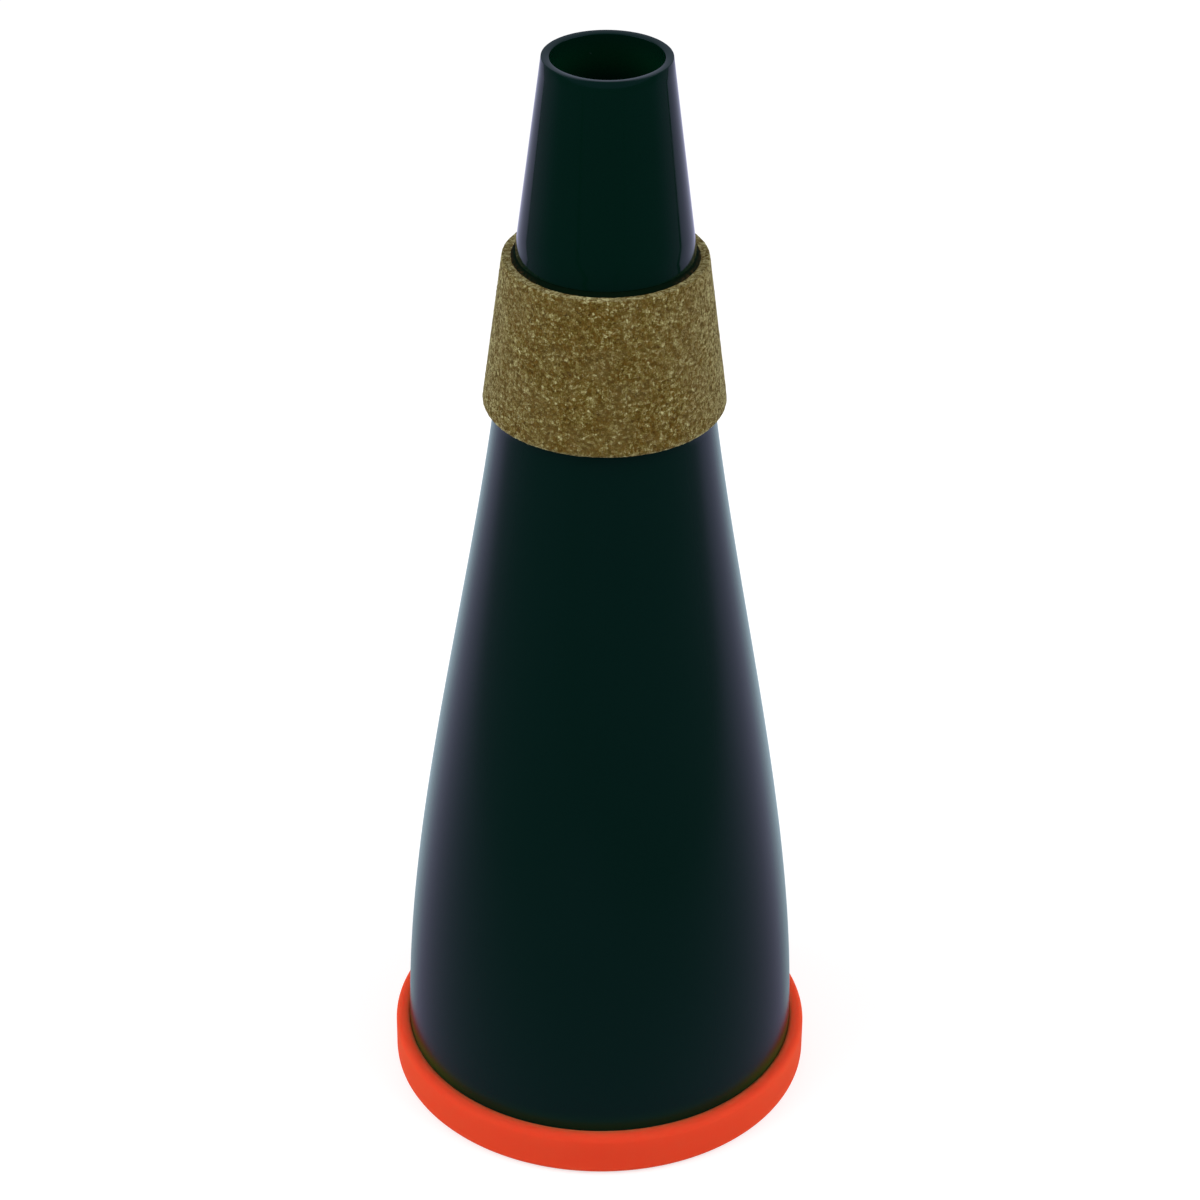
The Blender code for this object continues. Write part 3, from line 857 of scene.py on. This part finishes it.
def felt_lining():
    """Felt lining on the lower chamber's wall."""
    _, low, high = reach("wall_felt")
    outer = [(chamber_radius(z) - GAP, z) for z in rows(high, low, FELT_STEP)]
    inner = [(radius - WALL_FELT_THICKNESS, z) for radius, z in reversed(outer)]
    lining = turned("felt_lining", outer + inner, FELT_SIDES)
    middle = (outer[0][0] + outer[-1][0] - WALL_FELT_THICKNESS) / 2
    2 * math.pi * middle
    roughened(eased(lining, 0.3 * MM, 2), 1.2 * MM, 0.16 * MM)
    charcoal = felt("felt_charcoal", (0.035, 0.035, 0.037), (0.10, 0.10, 0.103))
    finished(lining, "wall_felt", charcoal, 80)


# Stage

def mirrored(finish, gloss, across, along):
    """What the black plastic mirrors of the floor: how bright it is there, and its tint."""
    left = along + PAPER_LEFT[1] * across + PAPER_LEFT[0]
    right = along - PAPER_RIGHT[1] * across + PAPER_RIGHT[0]
    paper = finish.fade(left, -PAPER_BLUR, PAPER_BLUR) * finish.fade(right, -PAPER_BLUR, PAPER_BLUR)
    # painted shade, seen only in the plastic's reflections: the paper darker in front of the object,
    # and the table beside it darker still towards the front
    paper = paper * finish.fade(along, -0.10, 0.09, 0.3, 1.0)
    edge = (right < 0) * (right > -TABLE_EDGE) + 0.4 * (left < 0) * (left > -TABLE_EDGE)
    table = finish.fade(along, -0.25, 0.15, 0.2, 0.42) * (1 - edge)
    # Straight behind the object, what the edges of the body and, less, of the neck mirror
    beside = abs(across) - finish.fade(along, 0.0, 0.3, 0.033, 0.008)
    steepness = along / beside.either(0.001)
    body = finish.fade(along, 0.29, 0.21)
    behind = gloss * finish.fade(steepness, 0.6, 1.75) * (0.25 + body * 0.75)
    level = 1 - gloss * (1 - paper.either(table))
    return level * (0.93 + body * 0.07) * (1 + behind * 0.17), finish.blend(behind, VIOLET, CYAN)


def floor():
    """Wide pale floor that shows white and keeps the object's shadow."""
    deselect()
    bpy.ops.mesh.primitive_plane_add(size=FLOOR_SIZE)
    ground = bpy.context.object
    ground.name = "floor"
    finish = Finish("floor_white")
    camera, gloss, through = finish.rays()
    seen = camera.either(gloss.either(through))
    where = finish.node("ShaderNodeTexCoord", output="Object")
    level, tint = mirrored(finish, gloss, finish.axis(where, "X"), finish.axis(where, "Y"))
    white = finish.blend(gloss, WHITE, tint)
    shown = finish.scaled(white, level * FLOOR_WHITE)
    far = finish.fade(finish.distance(where), 0.8, 2.4, 0.0, FAR_FILL)
    finish.set(
        Base_Color=finish.blend(seen, (FLOOR_PALE,) * 3, shown),
        Roughness=1.0, Specular_IOR_Level=0.0,
        Emission_Color=white, Emission_Strength=seen * level * FLOOR_FILL + camera * far)
    ground.data.materials.append(finish.material)


def room():
    """White all round, at a plain level on matt surfaces."""
    world = bpy.data.worlds.new("room")
    world.use_nodes = True
    bpy.context.scene.world = world
    light = Nodes(world.node_tree, "Background")
    camera, gloss, through = light.rays()
    seen = camera.either(gloss.either(through))
    light.set(
        Color=light.blend(gloss, WHITE, CEILING), Strength=light.fade(seen, 0.0, 1.0, AMBIENT, 1.0))


def softbox(name, place, level):
    """An even square lamp. Its level is the radiance of its face, where white paper is about 1."""
    lamp = bpy.data.lights.new(name, "AREA")
    lamp.shape = "SQUARE"
    lamp.size = SOFTBOX_SIZE
    lamp.energy = level * math.pi * SOFTBOX_SIZE**2
    holder = bpy.data.objects.new(name, lamp)
    bpy.context.scene.collection.objects.link(holder)
    holder.location = place
    way = Vector(SOFTBOX_AIM) - Vector(place)
    holder.rotation_euler = way.to_track_quat("-Z", "Y").to_euler()
    holder.visible_camera = False


def lights():
    """The room, and a softbox on each side in front."""
    room()
    side, front, height = SOFTBOX_PLACE
    softbox("left_softbox", (-side, front, height), SOFTBOX_LEVELS["left_softbox"])
    softbox("right_softbox", (side, front, height), SOFTBOX_LEVELS["right_softbox"])


def camera():
    """The photograph's viewpoint."""
    made = bpy.data.cameras.new("camera")
    made.lens = CAMERA_LENS
    made.sensor_width = CAMERA_SENSOR
    made.clip_start = 0.01
    made.clip_end = 50
    holder = bpy.data.objects.new("camera", made)
    bpy.context.scene.collection.objects.link(holder)
    back = Vector((0, -math.cos(CAMERA_ELEVATION), math.sin(CAMERA_ELEVATION)))
    facing = (-back).to_track_quat("-Z", "Y").to_matrix().to_4x4()
    roll = Matrix.Rotation(CAMERA_ROLL, 4, "Z")
    holder.matrix_world = Matrix.Translation(AIM + back * CAMERA_DISTANCE) @ facing @ roll
    bpy.context.scene.camera = holder


camera()
neck_cone()
flared_body()
cork_sleeve()
glue_bead()
foot_ring()
closing_plate()
seal_ring()
tube_grommet()
drawn_tube()
pierced_baffle()
foam_gasket()
felt_pad()
felt_lining()
floor()
lights()

bpy.context.scene.view_settings.view_transform = "Standard"
